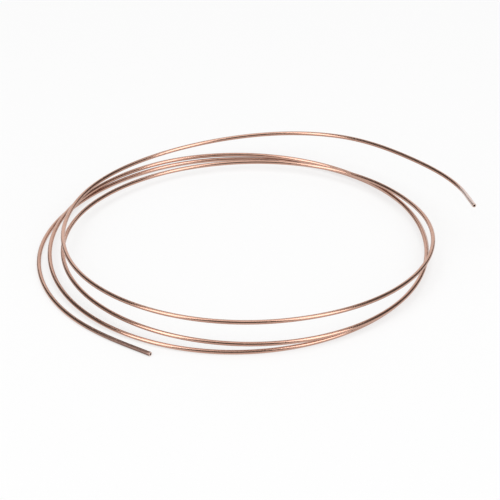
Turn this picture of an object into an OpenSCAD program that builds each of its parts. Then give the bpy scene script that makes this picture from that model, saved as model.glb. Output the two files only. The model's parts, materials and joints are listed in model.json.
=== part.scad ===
// Capillary tube: one length of small-bore copper tube, wound by hand into a loose coil that lies on
// the floor. The lower turns rest on each other, the upper ones spring up, and both cut ends are
// left straight, ready to be brazed into a larger tube.

/* [Tube] */
// Outside diameter of the tube
tube_od = 2.36; // [1.8:0.01:3]
// Diameter of the bore
tube_bore = 1.07; // [0.6:0.01:1.2]
// Straight length left at each cut end
end_straight = 12; // [8:0.5:20]
// Edge break round the outside of each cut
cut_break = 0.12; // [0.05:0.01:0.2]

/* [Coil] */
// Radius of the coil, measured to the middle of the tube
coil_radius = 110; // [80:1:160]
// Clearance between a turn and the turn that it lies on
turn_gap = 0.2; // [0.1:0.05:0.6]

/* [Hidden] */

// Rise from one turn to the turn that lies on it
turn_pitch = tube_od + turn_gap;

// Stations of the route, from the lower cut end to the upper one. Each row has the bearing in degrees,
// clockwise from the front, the reach as a share of the coil radius and the lift as a share of the
// turn pitch. The first and the last row only set the direction of the ends.
route_shares = [
    // first turn, flat on the floor
    [8, 1.115, 0],
    [26, 1.032, 0],
    [46, 1.021, 0],
    [68, 0.993, 0],
    [90, 0.966, 0],
    [112, 0.932, 0],
    [135, 0.924, 0],
    [158, 0.948, 0],
    [180, 0.962, 0],
    [202, 0.981, 0],
    [225, 1.012, 0],
    [270, 0.986, 0],
    [315, 0.972, 0],
    // second turn, which climbs on the first one at the left
    [360, 1, 0],
    [405, 0.962, 0.45],
    [450, 0.902, 1],
    [495, 0.932, 1],
    [518, 0.964, 1],
    [540, 0.97, 1],
    [585, 0.983, 1],
    [630, 0.972, 1],
    [675, 1.011, 1],
    // third turn, inside the others and a little above them at the left, and over them at the right
    [720, 0.994, 2],
    [765, 0.9, 2.3],
    [810, 0.842, 2.1],
    [855, 0.797, 1.6],
    [900, 0.844, 1.2],
    [945, 0.95, 2.05],
    [968, 0.98, 2.7],
    [990, 1.028, 3.35],
    [1035, 0.984, 4.8],
    // last part turn, sprung up and opened out at its end
    [1057, 0.964, 5.65],
    [1080, 0.964, 6.4],
    [1125, 0.882, 5.75],
    [1170, 0.836, 4.45],
    [1200, 0.865, 4.15],
    [1230, 0.901, 4.15],
    [1254, 0.965, 4.75],
    [1276, 1.043, 6],
    [1298, 1.065, 8.2],
    [1320, 1.076, 9.1],
    [1344, 1.227, 9.5],
    [1368, 1.195, 9.9],
];

// Sides of the swept tube, of its bore, and of the turned ends
tube_sides = 12;
bore_sides = tube_sides / 2;
turned_sides = 48;
// Rings of the sweep between two stations
rings_per_span = 7;
// The sweep's corners and the flats of its bore stay inside the wall of the turned ends
corner_share = 0.99;
flat_share = 1.02;
// Length by which the sweep runs into each turned end
end_lap = tube_od;
// Part of a span over which the direction of an end is read
heading_share = 0.01;

function unit(v) = v / norm(v);

// Uniform cubic B-spline over four neighbouring rows
function blend(a, b, c, d, f) =
    (a * pow(1 - f, 3) + b * (3 * pow(f, 3) - 6 * pow(f, 2) + 4)
        + c * (1 + 3 * f + 3 * pow(f, 2) - 3 * pow(f, 3)) + d * pow(f, 3)) / 6;

spans = len(route_shares) - 3;

function station(u) =
    let (i = min(floor(u), spans))
    blend(route_shares[i - 1], route_shares[i], route_shares[i + 1], route_shares[i + 2], u - i);

function place(row) =
    let (reach = row[1] * coil_radius)
    [-sin(row[0]) * reach, -cos(row[0]) * reach, tube_od / 2 + row[2] * turn_pitch];

// Centre line of the bent stretch, and the way in which each end leaves it
bend = [for (k = [0 : spans * rings_per_span]) place(station(1 + k / rings_per_span))];
lower_end = bend[0];
upper_end = bend[len(bend) - 1];
lower_way = unit(lower_end - place(station(1 + heading_share)));
upper_way = unit(upper_end - place(station(1 + spans - heading_share)));

// The whole path of the sweep, with a short straight piece inside each turned end
path = concat([lower_end + end_lap * lower_way], bend, [upper_end + end_lap * upper_way]);
last = len(path) - 1;
lower_seat = lower_end + end_lap / 2 * lower_way;
upper_seat = upper_end + end_lap / 2 * upper_way;

function heading(k) =
    k < 2 ? -lower_way :
    k > last - 2 ? upper_way :
    unit(path[k + 1] - path[k - 1]);

// One ring of corners square to the path
function ring(k, radius, sides) =
    let (ahead = heading(k), side = unit(cross(ahead, [0, 0, 1])), rise = cross(side, ahead))
    [for (j = [0 : sides - 1])
        path[k] + radius * (cos(360 * j / sides) * side + sin(360 * j / sides) * rise)];

corner_radius = corner_share * tube_od / 2;
bore_corner_radius = flat_share * tube_bore / 2 / cos(180 / bore_sides);
wall_points = [for (k = [0 : last]) each ring(k, corner_radius, tube_sides)];
bore_points = [for (k = [0 : last]) each ring(k, bore_corner_radius, bore_sides)];

function wall_at(k, j) = k * tube_sides + j % tube_sides;
function bore_at(k, j) = len(wall_points) + k * bore_sides + j % bore_sides;

wall_faces = [for (k = [0 : last - 1], j = [0 : tube_sides - 1])
    each [
        [wall_at(k, j), wall_at(k + 1, j + 1), wall_at(k + 1, j)],
        [wall_at(k, j), wall_at(k, j + 1), wall_at(k + 1, j + 1)],
    ]];
bore_faces = [for (k = [0 : last - 1], j = [0 : bore_sides - 1])
    each [
        [bore_at(k, j), bore_at(k + 1, j), bore_at(k + 1, j + 1)],
        [bore_at(k, j), bore_at(k + 1, j + 1), bore_at(k, j + 1)],
    ]];

// The flat ring that closes the wall at ring k, with two wall corners to each corner of the bore
function cap_faces(k) = [for (j = [0 : bore_sides - 1])
    each [
        [wall_at(k, 2 * j), wall_at(k, 2 * j + 1), bore_at(k, j)],
        [wall_at(k, 2 * j + 1), bore_at(k, j + 1), bore_at(k, j)],
        [wall_at(k, 2 * j + 1), wall_at(k, 2 * j + 2), bore_at(k, j + 1)],
    ]];
function turned_over(faces) = [for (f = faces) [f[0], f[2], f[1]]];

// Middle of the coil's outline, which is the origin on the floor
function rim(axis, seat, way) =
    let (centre = seat + (end_straight - cut_break) * way, half = tube_od / 2 * sqrt(1 - pow(way[axis], 2)))
    [centre[axis] - half, centre[axis] + half];
function middle(axis) =
    let (all = concat([for (p = wall_points) p[axis]],
        rim(axis, lower_seat, lower_way), rim(axis, upper_seat, upper_way)))
    (min(all) + max(all)) / 2;

module swept_tube() {
    polyhedron(
        points = concat(wall_points, bore_points),
        faces = concat(wall_faces, bore_faces, turned_over(cap_faces(0)), cap_faces(last)));
}

// Turned end, from its seat on the sweep to the cut face
module straight_end(seat, way) {
    translate(seat)
        rotate([0, acos(way[2]), atan2(way[1], way[0])])
            rotate_extrude($fn = turned_sides)
                polygon([
                    [tube_bore / 2, 0],
                    [tube_od / 2, 0],
                    [tube_od / 2, end_straight - cut_break],
                    [tube_od / 2 - cut_break, end_straight],
                    [tube_bore / 2, end_straight],
                ]);
}

module capillary_tube() {
    color("#b5714f")
        translate([-middle(0), -middle(1), 0])
            union() {
                swept_tube();
                straight_end(lower_seat, lower_way);
                straight_end(upper_seat, upper_way);
            }
}

capillary_tube();
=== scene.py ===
import json
from bisect import bisect_right
from math import atan2, cos, hypot, pi, radians, sin, tau

import bmesh
import bpy
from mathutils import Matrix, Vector


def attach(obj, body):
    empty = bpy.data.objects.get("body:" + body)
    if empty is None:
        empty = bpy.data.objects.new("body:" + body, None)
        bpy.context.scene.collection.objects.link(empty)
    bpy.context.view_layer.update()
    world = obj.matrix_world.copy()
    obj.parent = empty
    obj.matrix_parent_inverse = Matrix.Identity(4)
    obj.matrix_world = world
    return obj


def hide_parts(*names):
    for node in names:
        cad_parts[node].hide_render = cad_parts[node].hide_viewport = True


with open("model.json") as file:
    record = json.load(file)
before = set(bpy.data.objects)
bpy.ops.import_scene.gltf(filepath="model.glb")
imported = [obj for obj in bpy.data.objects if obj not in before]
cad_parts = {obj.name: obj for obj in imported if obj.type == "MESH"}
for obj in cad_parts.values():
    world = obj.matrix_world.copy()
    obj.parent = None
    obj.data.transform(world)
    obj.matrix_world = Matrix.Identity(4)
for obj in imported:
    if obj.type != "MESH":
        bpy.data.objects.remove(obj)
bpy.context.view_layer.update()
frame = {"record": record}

# Sizes, in metres. The outside of the tube and its straight ends come from the record's mounts. SNAP is the
# distance within which a point counts as lying on a rim.
MM = 0.001
ends = {mount["name"]: mount for mount in frame["record"]["mounts"]}
end_size = ends["lower_end"]["dims"]
TUBE_RADIUS = end_size["r_mm"] * MM
TUBE_OD = 2 * TUBE_RADIUS
END_LENGTH = end_size["length_mm"] * MM
BORE_RADIUS = 0.535 * MM
CUT_BREAK = 0.12 * MM
BORE_BREAK = 0.12 * MM
COIL_RADIUS = 110 * MM
TURN_GAP = 0.2 * MM
TURN_PITCH = TUBE_OD + TURN_GAP
SNAP = 0.001 * MM

# Stations of the route, from the lower cut end to the upper one: the bearing in degrees, clockwise from
# the front, the reach as a share of the coil radius and the lift as a share of the turn pitch. The first
# and the last one only set the direction of the ends.
ROUTE_SHARES = [
    # first turn, flat on the floor
    (8, 1.115, 0), (26, 1.032, 0), (46, 1.021, 0), (68, 0.993, 0), (90, 0.966, 0), (112, 0.932, 0),
    (135, 0.924, 0), (158, 0.948, 0), (180, 0.962, 0), (202, 0.981, 0), (225, 1.012, 0), (270, 0.986, 0),
    (315, 0.972, 0),
    # second turn, which climbs on the first one at the left
    (360, 1, 0), (405, 0.962, 0.45), (450, 0.902, 1), (495, 0.932, 1), (518, 0.964, 1), (540, 0.97, 1),
    (585, 0.983, 1), (630, 0.972, 1), (675, 1.011, 1),
    # third turn, inside the others and a little above them at the left, and over them at the right
    (720, 0.994, 2), (765, 0.9, 2.3), (810, 0.842, 2.1), (855, 0.797, 1.6), (900, 0.844, 1.2),
    (945, 0.95, 2.05), (968, 0.98, 2.7), (990, 1.028, 3.35), (1035, 0.984, 4.8),
    # last part turn, sprung up and opened out at its end
    (1057, 0.964, 5.65), (1080, 0.964, 6.4), (1125, 0.882, 5.75), (1170, 0.836, 4.45),
    (1200, 0.865, 4.15), (1230, 0.901, 4.15), (1254, 0.965, 4.75), (1276, 1.043, 6),
    (1298, 1.065, 8.2), (1320, 1.076, 9.1), (1344, 1.227, 9.5), (1368, 1.195, 9.9),
]
POINTS_PER_SPAN = 40

# Faces of the tube: sides round it, the length between two rings on its wall and in its bore, facets across
# the broken edges of a cut, and the angle past which an edge is sharp
TUBE_SIDES = 24
WALL_RING_PITCH = 2 * MM
BORE_RING_PITCH = 4 * MM
CUT_BREAK_FACETS = 3
BORE_BREAK_FACETS = 2
SHARP_ANGLE = radians(50)

# Finishes of the tube, in the order of its materials
WALL, CUT, BORE = range(3)

# The flat layout of the surface: rows of the wall, of the bore and of the two cuts, and the share of a
# row's height that is left free above and below what lies in it
ROWS = {WALL: 18, BORE: 4, CUT: 1}
FIRST_ROW = {WALL: 0, BORE: ROWS[WALL], CUT: ROWS[WALL] + ROWS[BORE]}
ALL_ROWS = sum(ROWS.values())
ROW_MARGIN_SHARE = 0.06

UP = Vector((0, 0, 1))


# The route

def blended(rows, part):
    """A place between the middle two of four stations, on a uniform cubic B-spline."""
    weights = (
        (1 - part) ** 3,
        3 * part ** 3 - 6 * part ** 2 + 4,
        1 + 3 * part + 3 * part ** 2 - 3 * part ** 3,
        part ** 3,
    )
    return [sum(w * row[k] for w, row in zip(weights, rows)) / 6 for k in range(3)]


def placed(station):
    bearing, reach, lift = station
    out = reach * COIL_RADIUS
    angle = radians(bearing)
    return Vector((-sin(angle) * out, -cos(angle) * out, TUBE_RADIUS + lift * TURN_PITCH))


def end_axis(name):
    return Vector(ends[name]["axis"]).normalized()


def end_point(name, along):
    """A point on the middle line of a cut end, so far from the middle of its straight length."""
    return Vector(ends[name]["pos_m"]) + along * end_axis(name)


class Route:
    """Middle line of the whole tube, from the lower cut to the upper one."""

    def __init__(self):
        spans = len(ROUTE_SHARES) - 3
        bend = []
        for step in range(spans * POINTS_PER_SPAN + 1):
            span = min(step // POINTS_PER_SPAN, spans - 1)
            part = step / POINTS_PER_SPAN - span
            bend.append(placed(blended(ROUTE_SHARES[span:span + 4], part)))
        bend_start = end_point("lower_end", -(END_LENGTH + TUBE_OD) / 2)
        shift = bend_start - bend[0]
        tip = END_LENGTH / 2 + CUT_BREAK
        self.points = [end_point("lower_end", tip)]
        self.points += [point + shift for point in bend]
        self.points.append(end_point("upper_end", tip))
        self.marks = [0.0]
        for before, after in zip(self.points, self.points[1:]):
            self.marks.append(self.marks[-1] + (after - before).length)
        self.length = self.marks[-1]
        last = len(self.points) - 1
        self.ways = [
            (self.points[min(k + 1, last)] - self.points[max(k - 1, 0)]).normalized()
            for k in range(last + 1)
        ]
        self.ways[0] = self.ways[1] = -end_axis("lower_end")
        self.ways[-1] = self.ways[-2] = end_axis("upper_end")

    def frame_at(self, distance):
        """The middle point at a distance along the tube, with the directions to its side and up from it."""
        k = bisect_right(self.marks, distance, 1, len(self.marks) - 1) - 1
        part = (distance - self.marks[k]) / (self.marks[k + 1] - self.marks[k])
        middle = self.points[k].lerp(self.points[k + 1], part)
        way = self.ways[k].lerp(self.ways[k + 1], part).normalized()
        side = UP.cross(way).normalized()
        return middle, side, way.cross(side)


# The tube

def on_rim(edge, radius, length):
    """True for an edge of a cut's outer or inner rim."""
    return all(
        abs(hypot(vert.co.x, vert.co.y) - radius) < SNAP and min(vert.co.z, length - vert.co.z) < SNAP
        for vert in edge.verts
    )


def straight_tube(length):
    """The tube before it is wound: its wall section spun about its axis, with the cuts' edges broken."""
    bm = bmesh.new()
    corners = [(BORE_RADIUS, 0), (TUBE_RADIUS, 0), (TUBE_RADIUS, length), (BORE_RADIUS, length)]
    verts = [bm.verts.new((radius, 0, height)) for radius, height in corners]
    sides = [bm.edges.new(pair) for pair in zip(verts, verts[1:] + verts[:1])]
    for side, pitch in ((sides[1], WALL_RING_PITCH), (sides[3], BORE_RING_PITCH)):
        bmesh.ops.subdivide_edges(bm, edges=[side], cuts=round(length / pitch) - 1)
    bmesh.ops.spin(
        bm, geom=bm.verts[:] + bm.edges[:], cent=(0, 0, 0), axis=UP, dvec=(0, 0, 0),
        angle=tau, steps=TUBE_SIDES, use_merge=True,
    )
    bmesh.ops.recalc_face_normals(bm, faces=bm.faces)
    edge_breaks = (
        (TUBE_RADIUS, CUT_BREAK, CUT_BREAK_FACETS),
        (BORE_RADIUS, BORE_BREAK, BORE_BREAK_FACETS),
    )
    for radius, edge_break, facets in edge_breaks:
        rims = [edge for edge in bm.edges if on_rim(edge, radius, length)]
        bmesh.ops.bevel(
            bm, geom=rims, offset=edge_break, offset_type="OFFSET", affect="EDGES",
            segments=facets, profile=0.5, material=-1,
        )
    return bm


def name_finishes(bm, length):
    """Tells the wall, the cuts and the bore apart. The reamed edge of the bore counts as bore."""
    for face in bm.faces:
        middle = face.calc_center_median()
        out = hypot(middle.x, middle.y)
        depth = min(middle.z, length - middle.z)
        if out < BORE_RADIUS + BORE_BREAK:
            face.material_index = BORE
        elif depth < CUT_BREAK:
            face.material_index = CUT
        face.smooth = True


def turn_share(point):
    """How far round the straight tube a point lies, as a share of a full turn."""
    return atan2(point.y, point.x) / tau % 1


def place_in_ring(point, length):
    """The place in the layout of a point on a cut, whose ring fills one square."""
    upper = point.z > length / 2
    depth = min(point.z, length - point.z)
    reach = (0.5 - ROW_MARGIN_SHARE) / (TUBE_RADIUS + CUT_BREAK)
    spread = reach * (1 + depth / hypot(point.x, point.y))
    x = 0.5 + spread * point.x + (1 if upper else 0)
    y = 0.5 + spread * point.y + FIRST_ROW[CUT]
    return x / ALL_ROWS, y / ALL_ROWS


def place_in_row(point, finish, face_middle, length):
    """The place in the layout of a point on the wall or in the bore, in the row of its face."""
    row_length = length / ROWS[finish]
    row = min(int(face_middle.z / row_length), ROWS[finish] - 1)
    share = turn_share(point)
    share -= round(share - turn_share(face_middle))
    x = (point.z - row * row_length + BORE_RING_PITCH) / (row_length + 2 * BORE_RING_PITCH)
    y = FIRST_ROW[finish] + row + ROW_MARGIN_SHARE + (1 - 2 * ROW_MARGIN_SHARE) * share
    return x, y / ALL_ROWS


def lay_out(bm, length):
    """Lays the surface out flat, for textures: the wall and the bore in rows, and the cuts as two rings."""
    uv = bm.loops.layers.uv.new("OFBake")
    for face in bm.faces:
        finish = face.material_index
        face_middle = face.calc_center_median()
        for loop in face.loops:
            if finish == CUT:
                loop[uv].uv = place_in_ring(loop.vert.co, length)
            else:
                loop[uv].uv = place_in_row(loop.vert.co, finish, face_middle, length)


def wind(bm, route):
    """Bends the straight tube along the route, and keeps each point's place on the straight tube."""
    straight = bm.verts.layers.float_vector.new("straight")
    for vert in bm.verts:
        across, up, along = vert.co
        vert[straight] = vert.co
        middle, side, rise = route.frame_at(along)
        vert.co = middle + across * side + up * rise


def tube_piece(route):
    bm = straight_tube(route.length)
    name_finishes(bm, route.length)
    lay_out(bm, route.length)
    wind(bm, route)
    mesh = bpy.data.meshes.new("copper_tube")
    bm.to_mesh(mesh)
    bm.free()
    mesh.set_sharp_from_angle(angle=SHARP_ANGLE)
    piece = bpy.data.objects.new("copper_tube", mesh)
    bpy.context.scene.collection.objects.link(piece)
    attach(piece, "root")
    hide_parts("capillary_tube")
    return piece


# Nodes

# Sockets of a Mix node for colours, which has several of each name
MIX_SHARE = 0
MIX_UNDER = 6
MIX_OVER = 7
MIX_RESULT = 2


def connect(tree, socket, value):
    """Links an output to an input, or sets a constant there."""
    if isinstance(value, bpy.types.NodeSocket):
        tree.links.new(value, socket)
    else:
        socket.default_value = value


def add_node(tree, kind, inputs=None, **settings):
    node = tree.nodes.new("ShaderNode" + kind)
    for name, value in settings.items():
        setattr(node, name, value)
    for name, value in (inputs or {}).items():
        connect(tree, node.inputs[name], value)
    return node


def ranged(tree, value, low, high, to_low=0, to_high=1):
    """A value taken from one range to another, and held within it."""
    node = add_node(tree, "MapRange", {
        "Value": value, "From Min": low, "From Max": high, "To Min": to_low, "To Max": to_high,
    })
    return node.outputs["Result"]


def combined(tree, operation, first, second):
    return add_node(tree, "Math", {0: first, 1: second}, operation=operation).outputs["Value"]


def mixed(tree, share, under, over):
    """One colour over another, by a share."""
    inputs = {MIX_SHARE: share, MIX_UNDER: under, MIX_OVER: over}
    return add_node(tree, "Mix", inputs, data_type="RGBA").outputs[MIX_RESULT]


def covered(tree, color, wear, most, wear_color):
    """A colour with the colour of some wear over it, by a share at most."""
    return mixed(tree, ranged(tree, wear, 0, 1, 0, most), color, wear_color)


def dulled(tree, roughness, wear, most):
    """A roughness with some more added where there is wear."""
    return combined(tree, "ADD", roughness, ranged(tree, wear, 0, 1, 0, most))


def new_group(name, inputs, output):
    group = bpy.data.node_groups.new(name, "ShaderNodeTree")
    for label, kind in inputs.items():
        group.interface.new_socket(name=label, in_out="INPUT", socket_type=kind)
    group.interface.new_socket(name=output, in_out="OUTPUT", socket_type="NodeSocketFloat")
    return group, group.nodes.new("NodeGroupInput"), group.nodes.new("NodeGroupOutput")


def use_group(tree, group, output, inputs):
    return add_node(tree, "Group", inputs, node_tree=group).outputs[output]


# Effects that the finishes share

# Values of the noise from the bottom of a mark to beside it, and from bright metal to full tarnish
MARK_RANGE = (0.32, 0.6)
TARNISH_RANGE = (0.38, 0.68)


def tool_marks_group():
    """Fine lines that a die or a cutter leaves, from 0 in a line to 1 beside it."""
    group, given, result = new_group(
        "tool_marks", {"Place": "NodeSocketVector", "Marks per Metre": "NodeSocketVector"}, "Marks",
    )
    spaced = add_node(
        group, "VectorMath", {0: given.outputs["Place"], 1: given.outputs["Marks per Metre"]},
        operation="MULTIPLY",
    )
    lines = add_node(group, "TexNoise", {
        "Vector": spaced.outputs["Vector"], "Scale": 1, "Detail": 3, "Roughness": 0.6,
    })
    connect(group, result.inputs["Marks"], ranged(group, lines.outputs["Fac"], *MARK_RANGE))
    return group


def tarnish_group():
    """Clouds of tarnish, from 0 on bright metal to 1 where it is dull."""
    group, given, result = new_group(
        "tarnish", {"Place": "NodeSocketVector", "Clouds per Metre": "NodeSocketFloat"}, "Cover",
    )
    spaced = add_node(
        group, "VectorMath", {0: given.outputs["Place"], "Scale": given.outputs["Clouds per Metre"]},
        operation="SCALE",
    )
    clouds = add_node(group, "TexNoise", {
        "Vector": spaced.outputs["Vector"], "Scale": 1, "Detail": 4, "Roughness": 0.55, "Distortion": 0.4,
    })
    connect(group, result.inputs["Cover"], ranged(group, clouds.outputs["Fac"], *TARNISH_RANGE))
    return group


tool_marks = tool_marks_group()
tarnish = tarnish_group()


# Finishes

class Finish:
    """A metal material that wears tool marks and tarnish, each laid out on the straight tube."""

    def __init__(self, name, marks_per_metre, clouds_per_metre):
        self.material = bpy.data.materials.new(name)
        self.material.use_nodes = True
        self.tree = self.material.node_tree
        self.shader = self.tree.nodes["Principled BSDF"]
        self.shader.inputs["Metallic"].default_value = 1
        self.place = add_node(self.tree, "Attribute", attribute_name="straight").outputs["Vector"]
        self.marks = use_group(
            self.tree, tool_marks, "Marks", {"Place": self.place, "Marks per Metre": marks_per_metre},
        )
        self.cover = use_group(
            self.tree, tarnish, "Cover", {"Place": self.place, "Clouds per Metre": clouds_per_metre},
        )

    def dressed(self, color, roughness, mark_depth):
        """The material with its colour and roughness, and with the marks sunk into it."""
        bump = add_node(self.tree, "Bump", {"Height": self.marks, "Strength": 1, "Distance": mark_depth})
        connect(self.tree, self.shader.inputs["Base Color"], color)
        connect(self.tree, self.shader.inputs["Roughness"], roughness)
        connect(self.tree, self.shader.inputs["Normal"], bump.outputs["Normal"])
        return self.material


# The outside: lines of the die in a metre across, up and along the tube, their depth, and clouds of tarnish
# and spots from handling in a metre
DIE_LINES = (6500, 6500, 30)
DIE_LINE_DEPTH = 0.0015 * MM
WALL_CLOUDS = 28
SPOTS = 160
# Values of the spots' noise from clean to smudged, and those between which the edges of the ends wander
SMUDGE_RANGE = (0.55, 0.72)
WANDER_RANGE = (0.3, 0.7)
# Lengths of the lower end, darkened with painted shade, and of the upper end, lightened with a painted
# reflection, each with the stretch over which it fades, and how far the edges of both wander along the tube
PAINTED_SHADE_LENGTH = 18 * MM
PAINTED_SHADE_FADE = 32 * MM
PAINTED_REFLECTION_LENGTH = 15 * MM
PAINTED_REFLECTION_FADE = 14 * MM
EDGE_WANDER = 6 * MM
# Colours, with the share by which each wear or painted mark hides what is under it
LINE_COLOR = (0.53, 0.319, 0.244, 1)
BRIGHT_COLOR = (0.59, 0.363, 0.281, 1)
TARNISH_COLOR = (0.44, 0.254, 0.187, 1)
TARNISH_SHARE = 0.45
SMUDGE_COLOR = (0.52, 0.33, 0.264, 1)
SMUDGE_SHARE = 0.3
# Painted shade: a dark brown laid over the lower end, which darkens it as a dark reflection would
PAINTED_SHADE_COLOR = (0.15, 0.096, 0.084, 1)
PAINTED_SHADE_SHARE = 0.8
# Painted reflection: a pale pink laid over the upper end, which lightens it as a bright reflection would
PAINTED_REFLECTION_COLOR = (0.85, 0.71, 0.66, 1)
PAINTED_REFLECTION_SHARE = 0.9
# Roughness of bright and of tarnished metal, and what the other wear and the two painted ends add to it
BRIGHT_ROUGHNESS = 0.16
TARNISHED_ROUGHNESS = 0.22
SMUDGE_DULLING = 0.08
PAINTED_SHADE_DULLING = 0.14
PAINTED_REFLECTION_DULLING = 0.2


def drawn_copper(length):
    """The outside of the tube: bright from the die, with brown clouds and dull spots from handling.

    The lower end is darkened brown with painted shade, and the upper end is lightened pale with a painted
    reflection.
    """
    finish = Finish("drawn_copper", DIE_LINES, WALL_CLOUDS)
    tree = finish.tree
    handled = add_node(tree, "TexNoise", {
        "Vector": finish.place, "Scale": SPOTS, "Detail": 2, "Roughness": 0.5,
    })
    spots = handled.outputs["Fac"]
    smudge = ranged(tree, spots, *SMUDGE_RANGE)
    wander = ranged(tree, spots, *WANDER_RANGE, -EDGE_WANDER, EDGE_WANDER)
    along = add_node(tree, "SeparateXYZ", {"Vector": finish.place}).outputs["Z"]
    along = combined(tree, "ADD", along, wander)
    # Painted shade on the lower end, full at the cut and fading out along the tube
    painted_shade = ranged(tree, along, PAINTED_SHADE_LENGTH, PAINTED_SHADE_LENGTH + PAINTED_SHADE_FADE, 1, 0)
    # Painted reflection on the upper end, full at the cut and fading in along the tube
    painted_reflection_start = length - PAINTED_REFLECTION_LENGTH
    painted_reflection = ranged(tree, along, painted_reflection_start - PAINTED_REFLECTION_FADE, painted_reflection_start)
    color = mixed(tree, finish.marks, LINE_COLOR, BRIGHT_COLOR)
    color = covered(tree, color, finish.cover, TARNISH_SHARE, TARNISH_COLOR)
    color = covered(tree, color, smudge, SMUDGE_SHARE, SMUDGE_COLOR)
    # Painted shade over the lower end
    color = covered(tree, color, painted_shade, PAINTED_SHADE_SHARE, PAINTED_SHADE_COLOR)
    # Painted reflection over the upper end
    color = covered(tree, color, painted_reflection, PAINTED_REFLECTION_SHARE, PAINTED_REFLECTION_COLOR)
    roughness = ranged(tree, finish.cover, 0, 1, BRIGHT_ROUGHNESS, TARNISHED_ROUGHNESS)
    roughness = dulled(tree, roughness, smudge, SMUDGE_DULLING)
    roughness = dulled(tree, roughness, painted_shade, PAINTED_SHADE_DULLING)
    roughness = dulled(tree, roughness, painted_reflection, PAINTED_REFLECTION_DULLING)
    return finish.dressed(color, roughness, DIE_LINE_DEPTH)


# The cuts: scores of the cutter in a metre across, up and along the tube, their depth, and clouds of
# tarnish in a metre
CUT_SCORES = (900, 11000, 0)
CUT_SCORE_DEPTH = 0.006 * MM
CUT_CLOUDS = 700
CUT_SCORE_COLOR = (0.6, 0.44, 0.37, 1)
CUT_COLOR = (0.86, 0.68, 0.6, 1)
CUT_TARNISH_COLOR = (0.38, 0.25, 0.2, 1)
CUT_TARNISH_SHARE = 0.3
CUT_SCORE_ROUGHNESS = 0.5
CUT_ROUGHNESS = 0.36


def cut_copper():
    """The cut faces: scored by the cutter, and not yet all dulled."""
    finish = Finish("cut_copper", CUT_SCORES, CUT_CLOUDS)
    tree = finish.tree
    color = mixed(tree, finish.marks, CUT_SCORE_COLOR, CUT_COLOR)
    color = covered(tree, color, finish.cover, CUT_TARNISH_SHARE, CUT_TARNISH_COLOR)
    roughness = ranged(tree, finish.marks, 0, 1, CUT_SCORE_ROUGHNESS, CUT_ROUGHNESS)
    return finish.dressed(color, roughness, CUT_SCORE_DEPTH)


# The bore: lines in a metre across, up and along the tube, their depth, and clouds of tarnish in a metre
BORE_LINES = (4000, 4000, 60)
BORE_LINE_DEPTH = 0.003 * MM
BORE_CLOUDS = 300
BORE_LINE_COLOR = (0.12, 0.07, 0.05, 1)
BORE_COLOR = (0.17, 0.1, 0.075, 1)
BORE_TARNISH_COLOR = (0.08, 0.05, 0.04, 1)
BORE_TARNISH_SHARE = 0.7
BORE_ROUGHNESS = 0.42
BORE_TARNISHED_ROUGHNESS = 0.6


def bore_copper():
    """The bore and its reamed edge, left dull and brown."""
    finish = Finish("bore_copper", BORE_LINES, BORE_CLOUDS)
    tree = finish.tree
    color = mixed(tree, finish.marks, BORE_LINE_COLOR, BORE_COLOR)
    color = covered(tree, color, finish.cover, BORE_TARNISH_SHARE, BORE_TARNISH_COLOR)
    roughness = ranged(tree, finish.cover, 0, 1, BORE_ROUGHNESS, BORE_TARNISHED_ROUGHNESS)
    return finish.dressed(color, roughness, BORE_LINE_DEPTH)


# Stage

# How far the floor reaches, in metres, the paper's colour and its glow beside white, and the colour of the
# surroundings
FLOOR_REACH = 12
PAPER_COLOR = (0.28, 0.28, 0.28, 1)
PAPER_GLOW = 0.69
WORLD_COLOR = (0.12, 0.12, 0.12, 1)

# Softboxes that face the object: the azimuth, clockwise from the rear, and the elevation in degrees, the
# distance and the size in metres, and the brightness beside white
SOFTBOXES = {
    "left_strip": {"azimuth": -128, "elevation": 32, "distance": 2.4, "size": (1.2, 2.6), "level": 3.2},
    "right_strip": {"azimuth": 129, "elevation": 32, "distance": 2.4, "size": (1.2, 2.6), "level": 3.2},
    "overhead": {"azimuth": 0, "elevation": 86, "distance": 2.2, "size": (2.4, 2.2), "level": 1.5},
    "rear": {"azimuth": 0, "elevation": 20, "distance": 2.6, "size": (3.4, 1.8), "level": 1.0},
}


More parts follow.
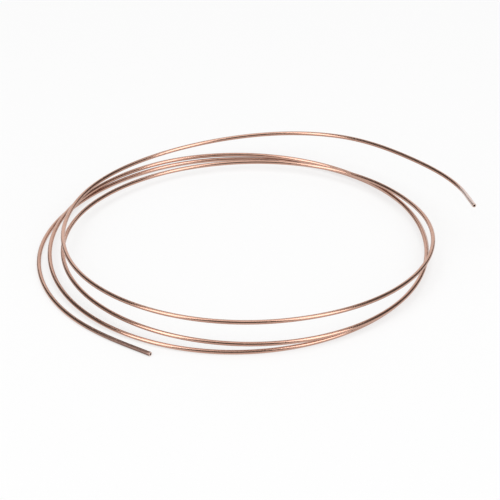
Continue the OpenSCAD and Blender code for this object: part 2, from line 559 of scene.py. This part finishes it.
def pale_floor():
    """Pale paper under the object. Its glow is seen and mirrored, but lights nothing."""
    bm = bmesh.new()
    bmesh.ops.create_grid(bm, x_segments=1, y_segments=1, size=FLOOR_REACH)
    mesh = bpy.data.meshes.new("floor")
    bm.to_mesh(mesh)
    bm.free()
    floor = bpy.data.objects.new("floor", mesh)
    bpy.context.scene.collection.objects.link(floor)
    material = bpy.data.materials.new("floor_paper")
    material.use_nodes = True
    tree = material.node_tree
    tree.nodes.clear()
    paper = add_node(tree, "BsdfDiffuse", {"Color": PAPER_COLOR})
    path = add_node(tree, "LightPath").outputs
    seen = combined(tree, "MAXIMUM", path["Is Camera Ray"], path["Is Glossy Ray"])
    seen = combined(tree, "MAXIMUM", seen, path["Is Transmission Ray"])
    glow = add_node(tree, "Emission", {"Strength": combined(tree, "MULTIPLY", seen, PAPER_GLOW)})
    both = add_node(tree, "AddShader", {0: paper.outputs["BSDF"], 1: glow.outputs["Emission"]})
    add_node(tree, "OutputMaterial", {"Surface": both.outputs["Shader"]})
    mesh.materials.append(material)


def softbox(name, azimuth, elevation, distance, size, level):
    width, height = size
    lamp = bpy.data.lights.new(name, "AREA")
    lamp.shape = "RECTANGLE"
    lamp.size = width
    lamp.size_y = height
    lamp.energy = level * pi * width * height
    holder = bpy.data.objects.new(name, lamp)
    bpy.context.scene.collection.objects.link(holder)
    turn = radians(azimuth)
    tilt = radians(elevation)
    away = Vector((sin(turn) * cos(tilt), cos(turn) * cos(tilt), sin(tilt)))
    holder.location = away * distance
    holder.rotation_euler = away.to_track_quat("Z", "Y").to_euler()
    holder.visible_camera = False


def studio():
    world = bpy.data.worlds.new("studio")
    world.use_nodes = True
    bpy.context.scene.world = world
    world.node_tree.nodes["Background"].inputs["Color"].default_value = WORLD_COLOR
    for name, settings in SOFTBOXES.items():
        softbox(name, **settings)


# View: the point on the floor at the middle of the picture, and a lens given by its focal length in pixels

VIEW_TARGET = Vector((-3.65, -3.54, 0)) * MM
VIEW_DISTANCE = 958.7 * MM
VIEW_ELEVATION = radians(30)
PICTURE_PIXELS = 500
FOCAL_PIXELS = 1720
SENSOR_MM = 36


def camera():
    data = bpy.data.cameras.new("camera")
    data.sensor_width = SENSOR_MM
    data.lens = SENSOR_MM * FOCAL_PIXELS / PICTURE_PIXELS
    holder = bpy.data.objects.new("camera", data)
    bpy.context.scene.collection.objects.link(holder)
    away = Vector((0, -cos(VIEW_ELEVATION), sin(VIEW_ELEVATION)))
    holder.location = VIEW_TARGET + VIEW_DISTANCE * away
    holder.rotation_euler = away.to_track_quat("Z", "Y").to_euler()
    bpy.context.scene.camera = holder


route = Route()
tube = tube_piece(route)
for material in (drawn_copper(route.length), cut_copper(), bore_copper()):
    tube.data.materials.append(material)
pale_floor()
studio()
camera()
bpy.context.scene.view_settings.view_transform = "Standard"
